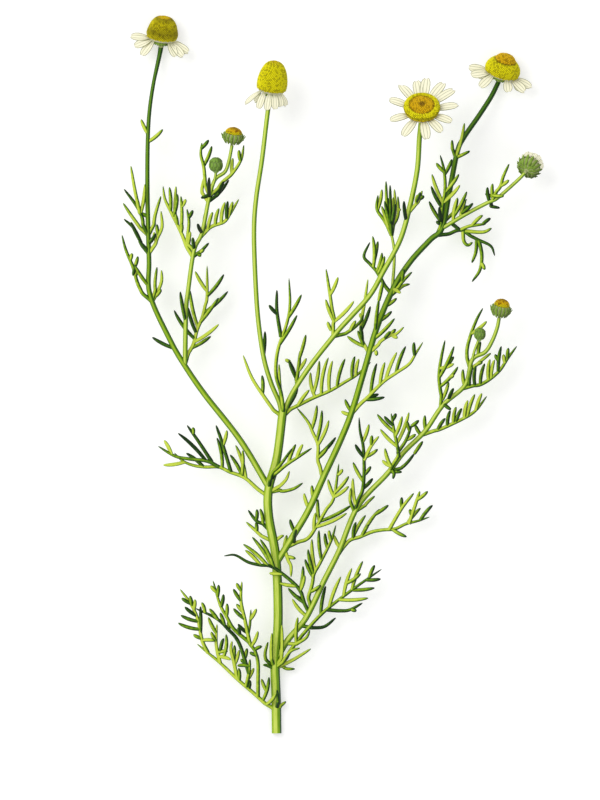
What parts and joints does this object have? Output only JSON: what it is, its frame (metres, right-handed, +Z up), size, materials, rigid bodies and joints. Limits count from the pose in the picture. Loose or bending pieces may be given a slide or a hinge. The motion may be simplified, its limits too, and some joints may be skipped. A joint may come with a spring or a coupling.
{
  "type": "chamomile flowering stem",
  "caption": "Cut flowering stem of chamomile laid flat: forked green stems, finely divided leaves, open flower heads with yellow domes and cream rays, and buds.",
  "frame": {"origin": "centre of the bounding box, on the surface the stem lies on", "axes": "+Z up from the surface, +Y along the stem from its cut end to the flower heads, +X to the right as seen from above"},
  "size_m": [0.1401, 0.2396, 0.0351],
  "materials": {
    "stem": "yellow-green skin with fine lengthwise ribs, slightly satin",
    "leaf": "mid green, satin, darker towards the tips",
    "bracts": "green ribs with pale papery edges",
    "ray_florets": "cream white, matt, faintly grooved",
    "disc_florets": "yellow, finely stippled, orange and olive in places",
    "young_florets": "orange-yellow, finely stippled"
  },
  "bodies": {
    "root": {"stem": "stem", "head_left_disc": "disc_florets", "head_left_rays": "ray_florets", "head_left_bracts": "bracts", "head_tall_disc": "disc_florets", "head_tall_rays": "ray_florets", "head_tall_bracts": "bracts", "head_facing_disc": "disc_florets", "head_facing_rays": "ray_florets", "head_facing_bracts": "bracts", "head_right_disc": "disc_florets", "head_right_rays": "ray_florets", "head_right_bracts": "bracts", "bud_left_bracts": "bracts", "bud_left_top": "young_florets", "bud_right_bracts": "bracts", "bud_right_top": "young_florets", "bud_white_bracts": "bracts", "bud_white_top": "ray_florets", "bud_closed_left": "bracts", "bud_closed_right": "bracts", "leaf_foot": "leaf", "leaf_branching": "leaf", "leaf_across": "leaf", "leaf_small": "leaf", "leaf_behind": "leaf", "leaf_third_low": "leaf", "leaf_third_mid": "leaf", "leaf_fork_left": "leaf", "leaf_fork_right": "leaf", "leaf_crown_left": "leaf", "leaf_crown_right": "leaf", "leaf_facing_side": "leaf", "leaf_facing_top": "leaf", "leaf_third_upper": "leaf", "leaf_third_pair": "leaf", "leaf_third_top": "leaf", "shoot_tip": "leaf", "leaf_right_upright": "leaf", "leaf_right_droop": "leaf", "leaf_white_stalk": "leaf", "leaf_right_stalk": "leaf", "leaf_left_open": "leaf", "leaf_left_second": "leaf", "leaf_left_third": "leaf", "leaf_left_fourth": "leaf", "leaf_second_low": "leaf", "leaf_second_mid": "leaf", "leaf_second_upper": "leaf", "leaf_second_top": "leaf", "leaf_fourth_low": "leaf", "leaf_fourth_mid": "leaf", "leaf_fourth_bushy": "leaf", "leaf_fourth_upper": "leaf", "leaf_fourth_left": "leaf", "leaf_fourth_right": "leaf", "leaf_fourth_top": "leaf"}
  },
  "joints": []
}
